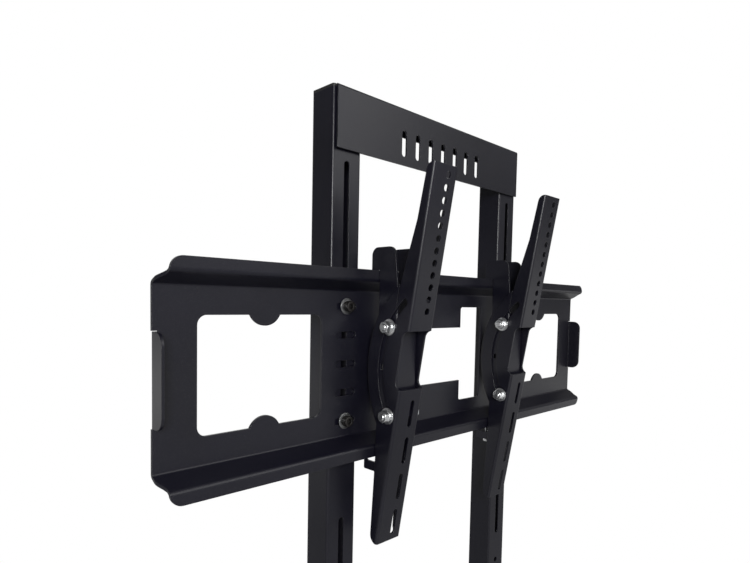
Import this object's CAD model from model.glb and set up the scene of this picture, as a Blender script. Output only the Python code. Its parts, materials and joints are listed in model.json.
"""Looks of the mobile screen stand: powder coat, zinc and black steel fasteners, castors and the stage."""

import json
import math

import bmesh
import bpy
from mathutils import Matrix, Vector


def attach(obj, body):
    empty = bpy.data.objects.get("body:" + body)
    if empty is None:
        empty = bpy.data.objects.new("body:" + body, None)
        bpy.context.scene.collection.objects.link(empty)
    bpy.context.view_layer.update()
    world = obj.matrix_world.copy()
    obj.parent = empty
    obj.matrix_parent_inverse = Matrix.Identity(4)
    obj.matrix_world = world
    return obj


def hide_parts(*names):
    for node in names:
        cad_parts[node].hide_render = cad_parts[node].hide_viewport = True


bl_info = {
    "name": "Mobile Screen Stand",
    "version": (1, 0, 0),
    "blender": (4, 5, 0),
    "location": "3D View > Sidebar > Screen Stand",
    "description": "Gives the mobile screen stand its finishes, fasteners, castors and stage",
    "category": "Object",
}

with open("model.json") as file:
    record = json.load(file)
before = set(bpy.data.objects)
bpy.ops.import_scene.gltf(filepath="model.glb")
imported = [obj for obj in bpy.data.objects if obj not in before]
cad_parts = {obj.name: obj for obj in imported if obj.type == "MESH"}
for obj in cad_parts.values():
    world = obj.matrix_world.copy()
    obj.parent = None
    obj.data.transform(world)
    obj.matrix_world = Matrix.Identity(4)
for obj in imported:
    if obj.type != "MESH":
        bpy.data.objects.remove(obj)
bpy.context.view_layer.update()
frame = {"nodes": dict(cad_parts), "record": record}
NODES = frame["nodes"]
BODY_OF = {n: body for body, names in frame["record"]["behaviour"]["bodies"].items() for n in names}
SLOT_NODES = {}
for part in frame["record"]["subparts"]:
    SLOT_NODES.setdefault(part["material_slot"], []).append(part["node"])

MM = 0.001
TO_REAR = (0.0, 1.0, 0.0)
TO_FRONT = (0.0, -1.0, 0.0)
TO_RIGHT = (1.0, 0.0, 0.0)
TO_LEFT = (-1.0, 0.0, 0.0)
UP = (0.0, 0.0, 1.0)

# Fastener sizes, in millimetres

BOLT_R = 4
HEX_FLATS = 13
NUT_H = 6.5
WASHER_T = 1.6
SPLIT_WASHER_T = 2

# Sizes and places of the CAD model, in metres. A grip is what a bolt clamps between its washers

WASHER = WASHER_T * MM
SPLIT_WASHER = SPLIT_WASHER_T * MM
WASHER_GAP = 0.0003
PLATE_FRONT = -0.0233
PLATE_MIDDLE = 1.270
POST_X = 0.1765
POST_GRIP = 0.0436
POST_BOLT_RISE = 0.070
ARM_LEFT_X = {"left": -0.1488, "right": 0.0964}
ARM_W = 0.0429
TILT_GRIP = ARM_W + 2 * WASHER_GAP
TILT_Y = -0.1666
TILT_Z = 1.263
TILT_REACH = 0.1105
TILT_BOLT_ANGLE = math.radians(28.9)
LOCK_FORWARD = 0.010
LOCK_BELOW = 0.130
LOCK_LET_DOWN = {"left": 0.028, "right": 0.0}
CROSSBAR_Z = 0.105
FOOT_BOLT_Y = 0.036
FOOT_BOLT_HEAD_X = 0.350
FOOT_BOLT_NUT_X = 0.306
SOCKET_BOLT_HEIGHTS = (0.150, 0.190)
SOCKET_FACE_Y = 0.0227
CASTOR_X = 0.33
CASTOR_Y = 0.245
WHEEL_R = 0.0325
FORK_FACE = 0.016
BRAKE_PIN_Y = -0.269
BRAKE_PIN_Z = 0.062
PEDAL_RIBS = 5
FIRST_RIB_Y = -0.2735
FIRST_RIB_Z = 0.06505
RIB_PITCH_Y = 0.0042
RIB_PITCH_Z = 0.00129
CASTORS = [
    ("front_left", -CASTOR_X, -1),
    ("front_right", CASTOR_X, -1),
    ("rear_left", -CASTOR_X, 1),
    ("rear_right", CASTOR_X, 1),
]


# Shader helpers

# Places of a Mix node's sockets for its factor, its two colours and its result
MIX_FACTOR, MIX_FIRST, MIX_SECOND, MIX_COLOUR = 0, 6, 7, 2


class Value:
    """A shader value. Arithmetic on it adds Math nodes to the same material."""

    def __init__(self, finish, socket):
        self.finish = finish
        self.socket = socket

    def _math(self, operation, first, second):
        return self.finish.node("ShaderNodeMath", {"operation": operation}, {0: first, 1: second}).out(0)

    def __add__(self, other):
        return self._math("ADD", self, other)

    def __radd__(self, other):
        return self._math("ADD", other, self)

    def __sub__(self, other):
        return self._math("SUBTRACT", self, other)

    def __rsub__(self, other):
        return self._math("SUBTRACT", other, self)

    def __mul__(self, other):
        return self._math("MULTIPLY", self, other)

    def __rmul__(self, other):
        return self._math("MULTIPLY", other, self)


class Placed:
    """A node that has been placed in a tree. out() gives one of its outputs as a value."""

    def __init__(self, finish, node):
        self.finish = finish
        self.node = node

    def out(self, key=0):
        return Value(self.finish, self.node.outputs[key])


class Graph:
    """A node tree under construction, with one method that places any node."""

    def __init__(self, tree):
        self.tree = tree
        tree.nodes.clear()

    def node(self, kind, settings=None, inputs=None):
        """Places a node, with its settings first and then the value or link of each socket."""
        node = self.tree.nodes.new(kind)
        for name, value in (settings or {}).items():
            setattr(node, name, value)
        for key, value in (inputs or {}).items():
            socket = node.inputs[key]
            if isinstance(value, Value):
                self.tree.links.new(value.socket, socket)
            else:
                socket.default_value = value
        return Placed(self, node)


class Finish(Graph):
    """A material or world under construction."""

    def __init__(self, owner):
        self.owner = owner
        owner.use_nodes = True
        super().__init__(owner.node_tree)

    def point(self):
        return self.node("ShaderNodeTexCoord").out("Object")

    def noise(self, scale, detail=2.0, roughness=0.5):
        """Soft noise from 0 to 1, with so many cells in a metre."""
        inputs = {"Vector": self.point(), "Scale": scale, "Detail": detail, "Roughness": roughness}
        return self.node("ShaderNodeTexNoise", {}, inputs).out("Fac")

    def ramp(self, value, low, high, start=0.0, end=1.0):
        """Goes from start to end as the value goes from low to high, and stays there."""
        inputs = {"Value": value, "From Min": low, "From Max": high, "To Min": start, "To Max": end}
        return self.node("ShaderNodeMapRange", {"clamp": True}, inputs).out(0)

    def mix(self, factor, first, second):
        """Colour between two, from the Mix node's sockets for colours."""
        inputs = {MIX_FACTOR: factor, MIX_FIRST: first, MIX_SECOND: second}
        return self.node("ShaderNodeMix", {"data_type": "RGBA"}, inputs).out(MIX_COLOUR)

    def soft_edge(self, radius):
        """Normal that rounds sharp edges of bent and cut sheet."""
        return self.node("ShaderNodeBevel", {"samples": 6}, {"Radius": radius}).out(0)

    def dot(self, first, second):
        """1 where two directions of length 1 agree, and less the further they part."""
        vectors = {0: first, 1: second}
        return self.node("ShaderNodeVectorMath", {"operation": "DOT_PRODUCT"}, vectors).out("Value")

    def edge_mask(self, rounded, reach):
        """1 on an edge and 0 on a flat, from how far the rounded normal leaves the flat one."""
        flat = self.node("ShaderNodeNewGeometry").out("Normal")
        return self.ramp(1 - self.dot(rounded, flat), 0.0, reach)

    def bump(self, height, strength, distance, normal):
        inputs = {"Height": height, "Strength": strength, "Distance": distance, "Normal": normal}
        return self.node("ShaderNodeBump", {}, inputs).out(0)

    def surface(self, **inputs):
        """Ends the material in one surface shader, and gives the material."""
        names = {key.replace("_", " "): value for key, value in inputs.items()}
        shader = self.node("ShaderNodeBsdfPrincipled", {}, names)
        self.node("ShaderNodeOutputMaterial", {}, {"Surface": shader.out(0)})
        return self.owner


def new_finish(name):
    return Finish(bpy.data.materials.new(name))


def grey(level, warm=0.0):
    """Grey, or a little warmer or bluer than grey."""
    return (level * (1 + warm), level, level * (1 - warm), 1.0)


# Finishes


def powder_coat():
    """Semi-gloss black powder coat: fine orange peel, soft cloudiness, thinner on the edges."""
    sizes = bpy.context.scene.stand_finishes
    f = new_finish("black_powder_coat")
    dark = (*sizes.coat_colour, 1.0)
    light = (*(1.35 * part for part in sizes.coat_colour), 1.0)
    rounded = f.soft_edge(sizes.edge_radius)
    edge = f.edge_mask(rounded, 0.35)
    cloud = f.noise(9.0, 3.0)
    peel = f.noise(1100.0, 2.0, 0.55)
    wave = f.noise(210.0, 1.0, 0.5)
    speck = f.ramp(f.noise(2600.0, 0.0), 0.74, 0.80)
    base = f.mix(f.ramp(cloud, 0.35, 0.7), dark, light)
    base = f.mix(edge * 0.5, base, grey(0.05))
    base = f.mix(speck * 0.35, base, grey(0.10))
    rough = sizes.coat_roughness + (cloud - 0.5) * 0.12 + (peel - 0.5) * 0.10 + speck * 0.1 - edge * 0.06
    normal = f.bump(peel + wave * 0.8, 0.20, 0.00016, rounded)
    return f.surface(Base_Color=base, Roughness=rough, Specular_IOR_Level=sizes.coat_gloss, Normal=normal)


def zinc_plate(name="bright_zinc", level=1.0):
    """Zinc plating: cloudy, a little bluish, with fine drawn marks."""
    f = new_finish(name)
    rounded = f.soft_edge(0.00025)
    cloud = f.noise(160.0, 3.0, 0.6)
    marks = f.noise(1500.0, 2.0, 0.7)
    tint = f.noise(55.0, 1.0)
    base = f.mix(f.ramp(cloud, 0.3, 0.7), grey(0.63 * level, -0.02), grey(0.80 * level))
    base = f.mix(f.ramp(tint, 0.5, 0.75) * 0.4, base, grey(0.69 * level, -0.06))
    rough = 0.24 + cloud * 0.14 + marks * 0.06
    normal = f.bump(marks + cloud * 0.5, 0.15, 0.00008, rounded)
    return f.surface(Base_Color=base, Roughness=rough, Metallic=1.0, Normal=normal)


def dull_zinc():
    """Zinc of the washers and nuts on the posts, duller than on the tilt bolts."""
    return zinc_plate("dull_zinc", 0.42)


def black_steel():
    """Oil-blackened steel of the bolts through the posts and in the base."""
    f = new_finish("blackened_steel")
    rounded = f.soft_edge(0.0003)
    edge = f.edge_mask(rounded, 0.4)
    cloud = f.noise(130.0, 3.0, 0.6)
    grain = f.noise(1800.0, 2.0, 0.6)
    base = f.mix(f.ramp(cloud, 0.3, 0.75), (0.030, 0.029, 0.030, 1), (0.060, 0.055, 0.052, 1))
    base = f.mix(edge * 0.55, base, (0.16, 0.155, 0.15, 1))
    rough = 0.34 + cloud * 0.12 + grain * 0.06
    normal = f.bump(grain, 0.2, 0.00006, rounded)
    return f.surface(Base_Color=base, Roughness=rough, Metallic=0.85, Normal=normal)


def moulded_plastic():
    """Black moulded plastic with the fine grain of a spark-eroded mould."""
    f = new_finish("black_moulded_plastic")
    rounded = f.soft_edge(0.0005)
    grain = f.noise(1700.0, 3.0, 0.6)
    cloud = f.noise(24.0, 2.0)
    dust = f.ramp(f.noise(420.0, 4.0, 0.7), 0.6, 0.75)
    base = f.mix(f.ramp(cloud, 0.3, 0.7), grey(0.012), grey(0.018))
    base = f.mix(dust * 0.2, base, grey(0.05, 0.03))
    rough = 0.48 + grain * 0.14
    normal = f.bump(grain, 0.3, 0.0001, rounded)
    return f.surface(Base_Color=base, Roughness=rough, Normal=normal)


def tyre_rubber():
    """Grey castor rubber, a little dusty where it rolls."""
    f = new_finish("grey_tyre_rubber")
    rounded = f.soft_edge(0.0006)
    grain = f.noise(1400.0, 3.0, 0.65)
    scuff = f.ramp(f.noise(300.0, 4.0, 0.75), 0.52, 0.72)
    base = f.mix(f.ramp(f.noise(40.0, 2.0), 0.3, 0.7), grey(0.085), grey(0.115))
    base = f.mix(scuff * 0.35, base, grey(0.20, 0.04))
    rough = 0.66 + grain * 0.16
    normal = f.bump(grain + scuff * 0.4, 0.3, 0.00012, rounded)
    return f.surface(Base_Color=base, Roughness=rough, Normal=normal)


FINISHES = {
    "black_coat": powder_coat,
    "zinc": zinc_plate,
    "dull_zinc": dull_zinc,
    "black_bolt": black_steel,
    "black_plastic": moulded_plastic,
    "grey_tyre": tyre_rubber,
}
MADE = {}


def finish_of(name):
    """Material of that name, made when it is first asked for."""
    if name not in MADE:
        MADE[name] = FINISHES[name]()
    return MADE[name]


# Turned pieces, drawn in millimetres about Z and placed by a node tree


def hexagon_reach(angle, flats):
    """Distance from the middle of a hexagon to its outline."""
    sector = math.pi / 3
    return flats / 2 / math.cos((angle + sector / 2) % sector - sector / 2)


def on_circle(reach, angle, height):
    """Point in metres, so far from the Z axis and so high in millimetres."""
    return (reach * math.cos(angle) * MM, reach * math.sin(angle) * MM, height * MM)


def turned_mesh(name, rings, steps=60, looped=False):
    """Solid turned about Z. A ring is a radius, a height, and a hexagon's flats or a knurl's depth if any."""
    bm = bmesh.new()
    rows = []
    for radius, height, *more in rings:
        flats = more[0] if more else 0
        knurl = more[1] if len(more) > 1 else 0
        row = []
        for step in range(steps if radius else 1):
            angle = math.tau * step / steps
            reach = min(radius, hexagon_reach(angle, flats)) if flats else radius
            reach -= knurl * (step % 2)
            row.append(bm.verts.new(on_circle(reach, angle, height)))
        rows.append(row)
    pairs = list(zip(rows, rows[1:]))
    if looped:
        pairs.append((rows[-1], rows[0]))
    for low, high in pairs:
        for step in range(steps):
            after = step + 1
            corners = [low[step % len(low)], low[after % len(low)]]
            corners += [high[after % len(high)], high[step % len(high)]]
            bm.faces.new(list(dict.fromkeys(corners)))
    bmesh.ops.recalc_face_normals(bm, faces=bm.faces)
    return finished_mesh(name, bm)


def finished_mesh(name, bm):
    """Mesh with smooth faces and sharp edges where they meet at more than 32 degrees."""
    mesh = bpy.data.meshes.new(name)
    bm.to_mesh(mesh)
    bm.free()
    mesh.shade_smooth()
    mesh.set_sharp_from_angle(angle=math.radians(32))
    return mesh


def bolt_length(grip, past_nut=2.0):
    """Length in millimetres of a bolt through a grip in metres and its nut, and so far past the nut."""
    return grip / MM + NUT_H + past_nut


def shank(radius, length, threaded, pitch=1.25):
    """Rings of a shank from Z = 0 up, whose last stretch is threaded."""
    rings = [(radius, 0.3), (radius, length - threaded)]
    turns = int((threaded - 1) / pitch)
    for turn in range(turns):
        z = length - threaded + (turn + 0.5) * pitch
        rings += [(radius - 0.62, z), (radius - 0.5, z + 0.2), (radius, z + 0.45), (radius, z + 0.75)]
    return rings + [(radius - 0.1, length - 0.7), (radius - 0.8, length), (0, length)]


def socket_screw(name, length, head, knurl=0, radius=BOLT_R, head_r=6.5):
    """Screw with a knurled or plain round head below Z = 0 and a hexagonal socket in it."""
    flats = radius * 1.5
    depth = 0.55 * head
    top = -head
    edge = 0.9 if knurl else 1.6
    rings = [(0, top + depth + 0.6), (flats, top + depth, flats), (flats, top + 0.5, flats)]
    rings += [(flats / 2 + 0.75, top), (head_r - edge, top)]
    rings += [(head_r - edge * 0.35, top + edge * 0.3), (head_r - 0.06, top + edge)]
    rings += [(head_r, top + edge + 0.15, 0, knurl), (head_r, -0.75, 0, knurl), (head_r - 0.1, -0.55)]
    rings += [(head_r - 0.3, 0), (radius + 0.3, 0)]
    return turned_mesh(name, rings + shank(radius, length, 16), 72)


def hex_screw(name, length, head, radius=BOLT_R, flats=HEX_FLATS):
    """Screw with a chamfered hexagonal head below Z = 0."""
    rings = [(0, 0.15 - head), (flats * 0.4, 0.12 - head), (flats * 0.43, -head), (flats * 0.475, -head)]
    rings += [(flats * 0.52, 0.45 - head, flats), (flats * 0.56, 0.85 - head, flats)]
    rings += [(flats, 1.15 - head, flats), (flats, -0.5, flats), (flats * 0.57, -0.2, flats)]
    rings += [(flats * 0.53, 0, flats), (radius + 0.3, 0)]
    return turned_mesh(name, rings + shank(radius, length, 20), 60)


def hex_nut(name, bore=4.04, height=NUT_H, flats=HEX_FLATS):
    """Nut from Z = 0 up, with chamfered corners and a chamfered bore."""
    rings = [(bore + 0.6, 0), (flats * 0.53, 0, flats), (flats * 0.565, 0.35, flats), (flats, 0.7, flats)]
    rings += [(flats, height - 1.15, flats), (flats * 0.56, height - 0.85, flats)]
    rings += [(flats * 0.52, height - 0.4, flats), (flats * 0.475, height)]
    rings += [(bore + 0.7, height), (bore, height - 0.7), (bore, 0.6)]
    return turned_mesh(name, rings, 60, looped=True)


def flat_washer(name, bore=4.2, radius=10, thick=WASHER_T):
    """Washer from Z = 0 up, with rounded edges."""
    rings = [(bore, 0.2), (bore + 0.2, 0), (radius - 0.35, 0), (radius - 0.08, 0.15), (radius, 0.45)]
    rings += [(radius, thick - 0.5), (radius - 0.12, thick - 0.15), (radius - 0.45, thick)]
    return turned_mesh(name, rings + [(bore + 0.3, thick), (bore, thick - 0.2)], 64, looped=True)


def split_washer(name, bore=4.15, radius=7, thick=SPLIT_WASHER_T):
    """Split spring washer: a square section swept round, with a slanted gap."""
    half_gap = 9
    slant = 0.16
    steps = 44
    section = [(bore, 0.2), (bore + 0.2, 0), (radius - 0.25, 0), (radius, 0.25)]
    section += [(radius, thick - 0.25), (radius - 0.25, thick), (bore + 0.2, thick), (bore, thick - 0.2)]
    bm = bmesh.new()
    rows = []
    for step in range(steps + 1):
        row = []
        for reach, z in section:
            angle = math.radians(half_gap + (360 - 2 * half_gap) * step / steps) + slant * (z / thick - 0.5)
            row.append(bm.verts.new(on_circle(reach, angle, z)))
        rows.append(row)
    for low, high in zip(rows, rows[1:]):
        for k in range(len(section)):
            after = (k + 1) % len(section)
            bm.faces.new((low[k], low[after], high[after], high[k]))
    bm.faces.new(rows[0])
    bm.faces.new(rows[-1])
    bmesh.ops.recalc_face_normals(bm, faces=bm.faces)
    return finished_mesh(name, bm)


def thumb_screw(name, length=38, radius=2.5, head=5, head_r=5):
    """Locking screw with a knurled head below Z = 0 that has a small round recess."""
    rings = [(0, 0.9 - head), (1.2, 0.9 - head), (1.5, 0.1 - head), (1.8, -head), (head_r - 0.8, -head)]
    rings += [(head_r - 0.15, 0.5 - head), (head_r, 0.8 - head, 0, 0.3), (head_r, -1.0, 0, 0.3)]
    rings += [(head_r - 0.2, -0.8), (head_r - 1.4, -0.5), (head_r - 1.6, 0), (radius + 0.2, 0)]
    return turned_mesh(name, rings + shank(radius, length, length - 3, pitch=0.8), 60)


def rivet(name, length, radius=2.5, head=2, head_r=4):
    """Pin with a domed head at both ends."""
    dome = [(head_r * math.cos(a), head * math.sin(a)) for a in (0.15, 0.5, 0.85, 1.2)]
    rings = [(0, -head)] + [(x, -z) for x, z in reversed(dome)] + [(head_r, 0), (radius, 0)]
    rings += [(radius, length), (head_r, length)] + [(x, length + z) for x, z in dome] + [(0, length + head)]
    return turned_mesh(name, rings, 40)


def tyre(name):
    """Tyre with a rounded shoulder, a step on its side and two grooves in the tread."""
    side = [(23, 10.4), (23.4, 11), (28.2, 11), (28.7, 10.5), (29.6, 10.4)]
    shoulder = [(31.0, 9.4), (31.9, 7.8), (32.3, 6.0), (32.38, 4.6)]
    tread = [(31.5, 4.2), (31.5, 3.5), (32.46, 3.1), (32.5, 1.2)]
    half = side + shoulder + tread
    return turned_mesh(name, [(x, -z) for x, z in half] + list(reversed(half)), 96, looped=True)


def hub_ribs(name):
    """Stiffening ribs between the hub's boss and its rim, seven on each face, lower towards the rim."""
    count = 7
    length, width, height = 9.4, 1.7, 4.4
    middle, rise, fall = 14.6, 6.9, 1.2
    bm = bmesh.new()
    for face in (-1, 1):
        for k in range(count):
            made = bmesh.ops.create_cube(bm, size=1.0)["verts"]
            bmesh.ops.scale(bm, vec=Vector((length, width, height)) * MM, verts=made)
            for v in made:
                if v.co.z * face > 0 and v.co.x > 0:
                    v.co.z -= face * fall * MM
            place = Matrix.Translation(Vector((middle, 0, face * rise)) * MM)
            turn = Matrix.Rotation(math.tau * k / count, 4, "Z")
            bmesh.ops.transform(bm, matrix=turn @ place, verts=made)
    bmesh.ops.bevel(bm, geom=bm.edges[:], offset=0.3 * MM, segments=2, affect="EDGES")
    bmesh.ops.recalc_face_normals(bm, faces=bm.faces)
    return finished_mesh(name, bm)


def grip_rib(name, radius=0.9, half=10.4):
    """Raised rib across a brake pedal, with rounded ends."""
    ends = [(radius * math.cos(a), half - radius + radius * math.sin(a)) for a in (0.0, 0.4, 0.8, 1.2)]
    rings = [(0, -half)] + [(x, -z) for x, z in reversed(ends)] + ends + [(0, half)]
    return turned_mesh(name, rings, 20)


# Trees that place and repeat the pieces

# Places of a Random Value node's sockets for its least and greatest number, its seed and its result
RANDOM_LEAST, RANDOM_MOST, RANDOM_SEED, RANDOM_NUMBER = 2, 3, 8, 1


def make_tree(name, inputs):
    """Empty tree with inputs of these names and kinds, which gives geometry, and its input node."""
    tree = bpy.data.node_groups.new(name, "GeometryNodeTree")
    for label, kind in inputs.items():
        tree.interface.new_socket(label, in_out="INPUT", socket_type="NodeSocket" + kind)
    tree.interface.new_socket("Geometry", in_out="OUTPUT", socket_type="NodeSocketGeometry")
    graph = Graph(tree)
    return graph, graph.node("NodeGroupInput")


def close_tree(graph, copies, given):
    """Copies become real geometry with their finish."""
    real = graph.node("GeometryNodeRealizeInstances", {}, {"Geometry": copies.out(0)})
    coated = {"Geometry": real.out(0), "Material": given.out("Finish")}
    done = graph.node("GeometryNodeSetMaterial", {}, coated)
    graph.node("NodeGroupOutput", {}, {0: done.out(0)})
    return graph.tree


def placing_tree():
    """Copies of one piece on points. Each faces the way its point says and is turned by a seeded amount."""
    kinds = {
        "Points": "Geometry",
        "Piece": "Object",
        "Most Turn": "Float",
        "Seed": "Int",
        "Finish": "Material",
    }
    graph, given = make_tree("placed_pieces", kinds)
    piece = graph.node("GeometryNodeObjectInfo", {}, {"Object": given.out("Piece")})
    facing = graph.node("GeometryNodeInputNamedAttribute", {"data_type": "FLOAT_VECTOR"}, {"Name": "facing"})
    aim = graph.node("FunctionNodeAlignRotationToVector", {"axis": "Z"}, {"Vector": facing.out(0)})
    points = {"Points": given.out("Points"), "Instance": piece.out("Geometry"), "Rotation": aim.out(0)}
    copies = graph.node("GeometryNodeInstanceOnPoints", {}, points)
    bounds = {RANDOM_MOST: given.out("Most Turn"), RANDOM_SEED: given.out("Seed")}
    chance = graph.node("FunctionNodeRandomValue", {"data_type": "FLOAT"}, bounds)
    turn = graph.node("ShaderNodeCombineXYZ", {}, {"Z": chance.out(RANDOM_NUMBER)})
    turning = {"Instances": copies.out(0), "Rotation": turn.out(0)}
    turned = graph.node("GeometryNodeRotateInstances", {}, turning)
    return close_tree(graph, turned, given)


def weld_tree():
    """Weld bead along a path: overlapping ripples of slightly different size."""
    kinds = {"Path": "Geometry", "Width": "Float", "Step": "Float", "Seed": "Int", "Finish": "Material"}
    graph, given = make_tree("weld_bead", kinds)
    curve = graph.node("GeometryNodeMeshToCurve", {}, {0: given.out("Path")})
    spacing = {"Curve": curve.out(0), "Length": given.out("Step")}
    spaced = graph.node("GeometryNodeResampleCurve", {"mode": "LENGTH"}, spacing)
    ball = graph.node("GeometryNodeMeshIcoSphere", {}, {"Radius": 0.5, "Subdivisions": 2})
    ripple = graph.node("GeometryNodeTransform", {}, {"Geometry": ball.out(0), "Scale": (1.0, 1.0, 0.62)})
    smooth = graph.node("GeometryNodeSetShadeSmooth", {}, {0: ripple.out(0)})
    along = graph.node("GeometryNodeInputTangent")
    aim = graph.node("FunctionNodeAlignRotationToVector", {"axis": "Z"}, {"Vector": along.out(0)})
    bounds = {RANDOM_LEAST: 0.86, RANDOM_MOST: 1.12, RANDOM_SEED: given.out("Seed")}
    chance = graph.node("FunctionNodeRandomValue", {"data_type": "FLOAT"}, bounds)
    widths = {0: chance.out(RANDOM_NUMBER), 1: given.out("Width")}
    size = graph.node("ShaderNodeMath", {"operation": "MULTIPLY"}, widths)
    points = {
        "Points": spaced.out(0),
        "Instance": smooth.out(0),
        "Rotation": aim.out(0),
        "Scale": size.out(0),
    }
    copies = graph.node("GeometryNodeInstanceOnPoints", {}, points)
    return close_tree(graph, copies, given)


def run_tree(tree, mesh, values):
    """Plain mesh of what a tree makes of the given points or path."""
    holder = bpy.data.objects.new("holder", mesh)
    bpy.context.scene.collection.objects.link(holder)
    modifier = holder.modifiers.new("tree", "NODES")
    modifier.node_group = tree
    for item in tree.interface.items_tree:
        if item.in_out == "INPUT" and item.name in values:
            modifier[item.identifier] = values[item.name]
    graph = bpy.context.evaluated_depsgraph_get()
    made = bpy.data.meshes.new_from_object(holder.evaluated_get(graph), depsgraph=graph)
    bpy.data.objects.remove(holder)
    bpy.data.meshes.remove(mesh)
    return made


def point_mesh(sites):
    """Points in metres, each with the way it faces."""
    mesh = bpy.data.meshes.new("sites")
    mesh.from_pydata([place for place, way in sites], [], [])
    facing = mesh.attributes.new("facing", "FLOAT_VECTOR", "POINT")
    facing.data.foreach_set("vector", [part for place, way in sites for part in way])
    return mesh


def placed_piece(name, body, slot, groups, turn, seed, finish=None):
    """One object from groups that are each a mesh and its sites, in its slot's finish or another one."""
    finish = finish or slot
    tree = bpy.data.node_groups.get("placed_pieces") or placing_tree()
    bm = bmesh.new()
    for mesh, sites in groups:
        master = bpy.data.objects.new("master", mesh)
        bpy.context.scene.collection.objects.link(master)
        values = {"Piece": master, "Most Turn": turn, "Seed": seed, "Finish": finish_of(finish)}
        made = run_tree(tree, point_mesh(sites), values)
        bm.from_mesh(made)
        bpy.data.objects.remove(master)
        bpy.data.meshes.remove(mesh)
        bpy.data.meshes.remove(made)
    return add_piece(name, body, finished_mesh(name, bm), finish)


def add_piece(name, body, mesh, finish):
    """Object of a finished mesh, riding on a body."""
    mesh.materials.clear()
    mesh.materials.append(finish_of(finish))
    piece = bpy.data.objects.new(name, mesh)
    bpy.context.scene.collection.objects.link(piece)
    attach(piece, body)
    return piece


def replace_node(node, slot, groups, turn, seed, finish=None):
    """Detailed piece in the place of a CAD node, on the node's own body."""
    piece = placed_piece(node + "_detail", BODY_OF[node], slot, groups, turn, seed, finish)
    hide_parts(node)


# Sites of the fasteners: a point and the way that the piece's Z axis faces


def post_bolt_sites(depth, way=TO_REAR):
    """Points on the axes of the four bolts, so deep behind the plate's front."""
    heights = (PLATE_MIDDLE - POST_BOLT_RISE, PLATE_MIDDLE + POST_BOLT_RISE)
    return [((x, PLATE_FRONT + depth, z), way) for x in (-POST_X, POST_X) for z in heights]


def tilt_sites(side, right, way):
    """Points on the axes of an arm's two bolts, so far to the right of its left washers."""
    x = ARM_LEFT_X[side] - WASHER_GAP + right
    sites = []
    for angle in (-TILT_BOLT_ANGLE, TILT_BOLT_ANGLE):
        y = TILT_Y + TILT_REACH * math.cos(angle)
        z = TILT_Z + TILT_REACH * math.sin(angle)
        sites.append(((x, y, z), way))
    return sites


# Sizes and colours that a user would change


class StandFinishes(bpy.types.PropertyGroup):
    coat_colour: bpy.props.FloatVectorProperty(
        name="Coat Colour",
        description="Colour of the powder coat under its gloss",
        subtype="COLOR",
        default=(0.0040, 0.0038, 0.0082),
        min=0.0,
        max=1.0,
    )
    coat_roughness: bpy.props.FloatProperty(
        name="Coat Roughness",
        description="How matt the powder coat is",
        default=0.34,
        min=0.05,
        max=0.9,
    )
    coat_gloss: bpy.props.FloatProperty(
        name="Coat Gloss",
        description="How strongly the powder coat reflects at a steep view",
        default=0.42,
        min=0.0,
        max=1.0,
    )
    edge_radius: bpy.props.FloatProperty(
        name="Sheet Edge Radius",
        description="Rounding of the coated edges of cut and bent sheet",
        default=0.0008,
        min=0.0001,
        max=0.003,
        unit="LENGTH",
    )


class StandFasteners(bpy.types.PropertyGroup):
    turn: bpy.props.FloatProperty(
        name="Most Turn",
        description="Greatest angle that a screw or nut is turned by about its axis",
        default=1.0,
        min=0.0,
        max=6.3,
        subtype="ANGLE",
    )
    weld_width: bpy.props.FloatProperty(
        name="Weld Width",
        description="Width of the weld beads on the base",
        default=0.0036,
        min=0.002,
        max=0.006,
        unit="LENGTH",
    )


class StandStage(bpy.types.PropertyGroup):
    key_power: bpy.props.FloatProperty(
        name="Key Light",
        description="Power of the large light high at the front right",
        default=34.0,
        min=0.0,
        unit="POWER",
    )
    fill_power: bpy.props.FloatProperty(
        name="Fill Light",
        description="Power of the light from the front left that brightens folds and edges",
        default=42.0,
        min=0.0,
        unit="POWER",
    )
    room_level: bpy.props.FloatProperty(
        name="Room Level",
        description="Strength of the diffuse light from all round",
        default=0.3,
        min=0.0,
        max=1.0,
    )


class STAND_OT_finishes(bpy.types.Operator):
    """Give every part of the stand the finish of its material slot"""

    bl_idname = "stand.finishes"
    bl_label = "Finishes"

    def execute(self, context):
        for slot, names in SLOT_NODES.items():
            for name in names:
                data = NODES[name].data
                data.materials.clear()
                data.materials.append(finish_of(slot))
        return {"FINISHED"}


class STAND_OT_post_bolts(bpy.types.Operator):
    """Replace the four bolts through the posts, their washers and nuts by detailed ones"""

    bl_idname = "stand.post_bolts"
    bl_label = "Post Bolts"

    def execute(self, context):
        turn = context.scene.stand_fasteners.turn
        screw = socket_screw("post_screw", bolt_length(POST_GRIP + 2 * WASHER), head=8, knurl=0.22)
        replace_node("post_bolts", "black_bolt", [(screw, post_bolt_sites(-WASHER))], turn, seed=3)
        washers = [
            (flat_washer("front_washer"), post_bolt_sites(0, TO_FRONT)),
            (flat_washer("back_washer"), post_bolt_sites(POST_GRIP)),
        ]
        replace_node("post_washers", "zinc", washers, turn, seed=4, finish="dull_zinc")
        nuts = [(hex_nut("post_nut"), post_bolt_sites(POST_GRIP + WASHER))]
        replace_node("post_nuts", "zinc", nuts, turn, seed=5, finish="dull_zinc")
        return {"FINISHED"}


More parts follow.
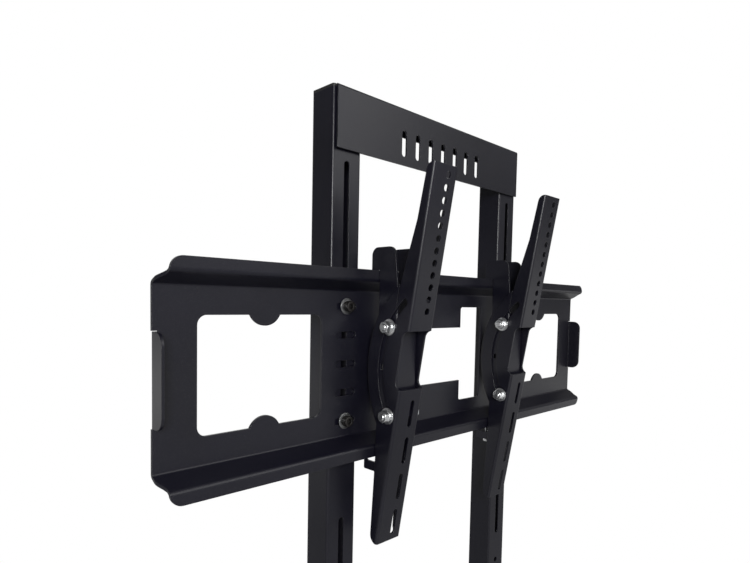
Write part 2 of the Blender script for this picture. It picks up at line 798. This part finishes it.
class STAND_OT_tilt_bolts(bpy.types.Operator):
    """Replace the arms' tilt bolts, their washers and nuts, and the locking screws by detailed ones"""

    bl_idname = "stand.tilt_bolts"
    bl_label = "Tilt Bolts"

    def execute(self, context):
        turn = context.scene.stand_fasteners.turn
        washer_turn = 6.0
        length = bolt_length(TILT_GRIP + 2 * WASHER + SPLIT_WASHER, past_nut=1.5)
        for seed, side in enumerate(("left", "right"), 11):
            screw = hex_screw("tilt_screw", length, head=5.3)
            heads = tilt_sites(side, TILT_GRIP + WASHER, TO_LEFT)
            replace_node(side + "_tilt_bolts", "zinc", [(screw, heads)], turn, seed)
            washers = [
                (flat_washer("left_washer"), tilt_sites(side, 0, TO_LEFT)),
                (flat_washer("right_washer"), tilt_sites(side, TILT_GRIP, TO_RIGHT)),
                (split_washer("split_washer"), tilt_sites(side, -WASHER, TO_LEFT)),
            ]
            replace_node(side + "_tilt_washers", "zinc", washers, washer_turn, seed + 7)
            nuts = tilt_sites(side, -WASHER - SPLIT_WASHER, TO_LEFT)
            replace_node(side + "_tilt_nuts", "zinc", [(hex_nut("tilt_nut"), nuts)], turn, seed + 20)
            x = ARM_LEFT_X[side] + ARM_W / 2
            z = TILT_Z - LOCK_BELOW - LOCK_LET_DOWN[side]
            foot = [((x, PLATE_FRONT - LOCK_FORWARD, z), UP)]
            replace_node(side + "_lock_screw", "zinc", [(thumb_screw("lock"), foot)], turn, seed)
        return {"FINISHED"}


class STAND_OT_base_bolts(bpy.types.Operator):
    """Replace the bolts of the crossbar and of the post sockets by detailed ones"""

    bl_idname = "stand.base_bolts"
    bl_label = "Base Bolts"

    def execute(self, context):
        turn = context.scene.stand_fasteners.turn
        screws = []
        nuts = []
        for side in (-1, 1):
            inward = (-side, 0.0, 0.0)
            for y in (-FOOT_BOLT_Y, FOOT_BOLT_Y):
                screws.append(((side * FOOT_BOLT_HEAD_X, y, CROSSBAR_Z), inward))
                nuts.append(((side * FOOT_BOLT_NUT_X, y, CROSSBAR_Z), inward))
        screw = socket_screw("foot_screw", bolt_length(FOOT_BOLT_HEAD_X - FOOT_BOLT_NUT_X), head=4)
        groups = [(screw, screws), (hex_nut("foot_nut"), nuts)]
        replace_node("crossbar_bolts", "black_bolt", groups, turn, seed=31)
        rows = [(x, z) for x in (-POST_X, POST_X) for z in SOCKET_BOLT_HEIGHTS]
        screws = [((x, -SOCKET_FACE_Y, z), TO_REAR) for x, z in rows]
        nuts = [((x, SOCKET_FACE_Y, z), TO_REAR) for x, z in rows]
        screw = socket_screw("sleeve_screw", bolt_length(2 * SOCKET_FACE_Y), head=4)
        groups = [(screw, screws), (hex_nut("sleeve_nut"), nuts)]
        replace_node("socket_bolts", "black_bolt", groups, turn, seed=32)
        return {"FINISHED"}


class STAND_OT_castors(bpy.types.Operator):
    """Detail the castors: axle bolts, tyres, hub ribs, brake pins and pedal ribs"""

    bl_idname = "stand.castors"
    bl_label = "Castors"

    def execute(self, context):
        turn = context.scene.stand_fasteners.turn
        length = bolt_length(2 * FORK_FACE, past_nut=1.5)
        for seed, (name, x, back) in enumerate(CASTORS, 41):
            way = (float(back), 0.0, 0.0)
            y = back * CASTOR_Y
            heads = [((x - back * FORK_FACE, y, WHEEL_R), way)]
            nuts = [((x + back * FORK_FACE, y, WHEEL_R), way)]
            groups = [(hex_screw("axle_screw", length, head=4), heads), (hex_nut("axle_nut"), nuts)]
            replace_node(name + "_axle", "zinc", groups, turn, seed)
            middle = [((x, y, WHEEL_R), way)]
            replace_node(name + "_tyre", "grey_tyre", [(tyre("tyre"), middle)], turn, seed)
            ribs = [(hub_ribs("ribs"), middle)]
            placed_piece(name + "_hub_ribs", BODY_OF[name + "_hub"], "black_plastic", ribs, turn, seed)
            if back < 0:
                brake_pieces(name, x, turn, seed)
        return {"FINISHED"}


def brake_pieces(name, x, turn, seed):
    """Pin and pedal ribs of a front castor's brake."""
    pin = rivet("pin", 2 * FORK_FACE / MM)
    end = [((x + FORK_FACE, BRAKE_PIN_Y, BRAKE_PIN_Z), TO_LEFT)]
    replace_node(name + "_brake_pin", "zinc", [(pin, end)], turn, seed)
    rows = [(FIRST_RIB_Y - k * RIB_PITCH_Y, FIRST_RIB_Z - k * RIB_PITCH_Z) for k in range(PEDAL_RIBS)]
    ribs = [(grip_rib("grip"), [((x, y, z), TO_RIGHT) for y, z in rows])]
    placed_piece(name + "_pedal_ribs", BODY_OF[name + "_brake_pedal"], "black_plastic", ribs, 0.0, seed)


class STAND_OT_welds(bpy.types.Operator):
    """Lay the weld beads of the post sockets, their ribs and the crossbar's end plates"""

    bl_idname = "stand.welds"
    bl_label = "Welds"

    def execute(self, context):
        width = context.scene.stand_fasteners.weld_width
        step = 0.42 * width
        points = []
        edges = []
        for start, end in weld_lines():
            edges.append((len(points), len(points) + 1))
            points += [start, end]
        mesh = bpy.data.meshes.new("weld_paths")
        mesh.from_pydata(points, edges, [])
        values = {"Width": width, "Step": step, "Seed": 8, "Finish": finish_of("black_coat")}
        made = run_tree(weld_tree(), mesh, values)
        add_piece("base_welds", "stand", made, "black_coat")
        return {"FINISHED"}


def weld_lines():
    """Start and end of each bead: round the post sockets, along their ribs and round the crossbar's ends."""
    top = 0.1252
    socket_x, socket_y = 0.0254, 0.0203
    rib_x, rib_face = 0.0845, 0.0022
    rib_low, rib_high = top + 0.003, top + 0.0585
    end_x, bar_face = 0.3058, 0.0202
    long_half, short_half = 0.022, 0.0165
    lines = []
    for side in (-1, 1):
        post = side * POST_X
        for way in (-1, 1):
            edge = post + way * socket_x
            far = post + way * rib_x
            y, z = way * socket_y, top - 0.0004
            lines.append(((edge, -short_half, top), (edge, short_half, top)))
            lines.append(((post - long_half, y, z), (post + long_half, y, z)))
            for face in (-rib_face, rib_face):
                lines.append(((edge, face, top), (far, face, top)))
                lines.append(((edge, face, rib_low), (edge, face, rib_high)))
        end = side * end_x
        for face in (-bar_face, bar_face):
            z = CROSSBAR_Z + face
            lines.append(((end, face, CROSSBAR_Z - short_half), (end, face, CROSSBAR_Z + short_half)))
            lines.append(((end, -short_half, z), (end, short_half, z)))
    return lines


class STAND_OT_stage(bpy.types.Operator):
    """Build the pale floor, the soft studio light and the camera"""

    bl_idname = "stand.stage"
    bl_label = "Stage"

    def execute(self, context):
        stage = context.scene.stand_stage
        build_floor()
        build_room(stage.room_level)
        soft_light("key_light", place=(1.5, -3.0, 3.0), size=2.2, power=stage.key_power)
        soft_light("fill_light", place=(-1.5, -1.7, 1.75), size=0.7, power=stage.fill_power)
        build_camera()
        return {"FINISHED"}


def build_floor():
    """Pale floor that keeps the shadow near the stand, and is white far out to the camera and in metal."""
    half = 14.0
    shadow_reach, white_from = 0.6, 1.8
    corners = [(-half, -half, 0), (half, -half, 0), (half, half, 0), (-half, half, 0)]
    mesh = bpy.data.meshes.new("floor")
    mesh.from_pydata(corners, [], [(0, 1, 2, 3)])
    floor = bpy.data.objects.new("floor", mesh)
    bpy.context.scene.collection.objects.link(floor)
    f = new_finish("pale_floor")
    far = f.node("ShaderNodeVectorMath", {"operation": "LENGTH"}, {0: f.point()}).out("Value")
    path = f.node("ShaderNodeLightPath")
    tone = f.mix(f.noise(3.0), grey(0.58), grey(0.63))
    pale = f.node("ShaderNodeBsdfPrincipled", {}, {"Base Color": tone, "Roughness": 0.75})
    white = f.node("ShaderNodeEmission", {}, {"Color": grey(1.0), "Strength": 1.0})
    seen = f.ramp(far, shadow_reach, white_from, 0.42, 1.0) * path.out("Is Camera Ray")
    mirrored = f.ramp(far, 3.0, 7.0) * path.out("Is Glossy Ray")
    both = f.node("ShaderNodeMixShader", {}, {0: seen + mirrored, 1: pale.out(0), 2: white.out(0)})
    f.node("ShaderNodeOutputMaterial", {}, {"Surface": both.out(0)})
    mesh.materials.append(f.owner)


def build_room(level):
    """White room to the camera. Coat and metal mirror white behind the stand and a dimmer room before it."""
    world = bpy.data.worlds.new("studio_room")
    bpy.context.scene.world = world
    f = Finish(world)
    path = f.node("ShaderNodeLightPath")
    direct = {0: path.out("Is Camera Ray"), 1: path.out("Is Transmission Ray")}
    seen = f.node("ShaderNodeMath", {"operation": "MAXIMUM"}, direct).out(0)
    way = f.node("ShaderNodeTexCoord").out("Generated")
    rear = f.dot(way, (0.40, 0.90, 0.15))
    right = f.dot(way, (0.55, -0.50, 0.67))
    front_level, right_level = 0.11, 0.34
    room = f.ramp(rear, 0.66, 0.90, front_level, 1.0) + f.ramp(right, 0.74, 1.0, 0.0, right_level)
    glossy = path.out("Is Glossy Ray")
    other = room * glossy + level * (1 - glossy)
    strength = other * (1 - seen) + seen
    background = f.node("ShaderNodeBackground", {}, {"Color": grey(1.0), "Strength": strength})
    f.node("ShaderNodeOutputWorld", {}, {"Surface": background.out(0)})


def soft_light(name, place, size, power):
    """Square light of that size, aimed at the middle of the wall plate's height."""
    aim = Vector((0.0, 0.0, 1.3))
    data = bpy.data.lights.new(name, "AREA")
    data.shape = "RECTANGLE"
    data.size = size
    data.size_y = size
    data.energy = power
    light = bpy.data.objects.new(name, data)
    light.location = place
    light.rotation_euler = (aim - Vector(place)).to_track_quat("-Z", "Y").to_euler()
    bpy.context.scene.collection.objects.link(light)


def build_camera():
    """Camera that was fitted to the picture of the stand. Angles are in radians, the lens in pixels."""
    yaw, pitch, roll = 0.7758925, -0.0537713, -0.0197437
    focus, centre_x, centre_y = 542.651, 373.815, 331.275
    wide, high = 750, 563
    sensor = 36.0
    ahead = Vector((math.sin(yaw) * math.cos(pitch), math.cos(yaw) * math.cos(pitch), math.sin(pitch)))
    right = Vector((math.cos(yaw), -math.sin(yaw), 0))
    down = ahead.cross(right)
    across = math.cos(roll) * right + math.sin(roll) * down
    below = -math.sin(roll) * right + math.cos(roll) * down
    place = Vector((-0.613669, -0.517162, 1.345818))
    data = bpy.data.cameras.new("picture_camera")
    data.sensor_fit = "HORIZONTAL"
    data.sensor_width = sensor
    data.lens = focus / wide * sensor
    data.shift_x = (wide / 2 - centre_x) / wide
    data.shift_y = (centre_y - high / 2) / wide
    data.clip_start = 0.02
    camera = bpy.data.objects.new("picture_camera", data)
    turn = Matrix((across, -below, -ahead)).transposed()
    camera.matrix_world = Matrix.Translation(place) @ turn.to_4x4()
    bpy.context.scene.collection.objects.link(camera)
    bpy.context.scene.camera = camera
    bpy.context.scene.view_settings.view_transform = "Standard"


class STAND_PT_panel(bpy.types.Panel):
    """Lists the steps that make the stand's looks"""

    bl_idname = "STAND_PT_panel"
    bl_label = "Screen Stand"
    bl_space_type = "VIEW_3D"
    bl_region_type = "UI"
    bl_category = "Screen Stand"

    def draw(self, context):
        for operator in OPERATORS:
            self.layout.operator(operator.bl_idname)


OPERATORS = (
    STAND_OT_finishes,
    STAND_OT_post_bolts,
    STAND_OT_tilt_bolts,
    STAND_OT_base_bolts,
    STAND_OT_castors,
    STAND_OT_welds,
    STAND_OT_stage,
)
CLASSES = (StandFinishes, StandFasteners, StandStage, *OPERATORS, STAND_PT_panel)


def register():
    for cls in CLASSES:
        bpy.utils.register_class(cls)
    bpy.types.Scene.stand_finishes = bpy.props.PointerProperty(type=StandFinishes)
    bpy.types.Scene.stand_fasteners = bpy.props.PointerProperty(type=StandFasteners)
    bpy.types.Scene.stand_stage = bpy.props.PointerProperty(type=StandStage)


def unregister():
    del bpy.types.Scene.stand_stage
    del bpy.types.Scene.stand_fasteners
    del bpy.types.Scene.stand_finishes
    for cls in reversed(CLASSES):
        bpy.utils.unregister_class(cls)


def main():
    register()
    for operator in OPERATORS:
        group, name = operator.bl_idname.split(".")
        getattr(getattr(bpy.ops, group), name)()


if __name__ == "__main__":
    main()
